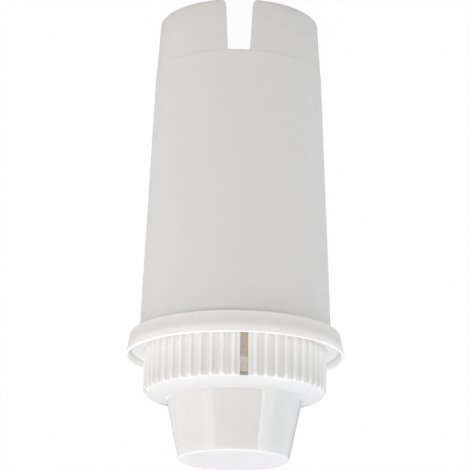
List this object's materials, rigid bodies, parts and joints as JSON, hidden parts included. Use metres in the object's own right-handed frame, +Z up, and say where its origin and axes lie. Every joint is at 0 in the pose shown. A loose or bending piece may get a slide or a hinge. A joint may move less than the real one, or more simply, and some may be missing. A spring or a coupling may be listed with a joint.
{
  "type": "water pitcher filter cartridge",
  "caption": "Tapered filter cartridge for a water pitcher, with a notched skirt, a seating collar, a ribbed inlet ring with windows and a lifting knob.",
  "frame": {"origin": "middle of the slotted end that the cartridge stands on", "axes": "+Z up along the axis, from the slotted end to the knob; +Y through the middle of one notch"},
  "size_m": [0.0688, 0.0688, 0.144],
  "materials": {
    "housing_plastic": "semi-gloss, slightly see-through white",
    "cap_plastic": "gloss white",
    "inlet_mesh": "fine woven mesh, stained beige by what is behind it",
    "felt": "matte fibre felt",
    "granules": "packed grains, brown and black",
    "outlet_mesh": "fine woven mesh"
  },
  "bodies": {
    "root": {"housing": "housing_plastic", "cap": "cap_plastic", "inlet_screen": "inlet_mesh", "top_pad": "felt", "filter_media": "granules", "outlet_pad": "felt", "outlet_screen": "outlet_mesh"}
  },
  "joints": []
}
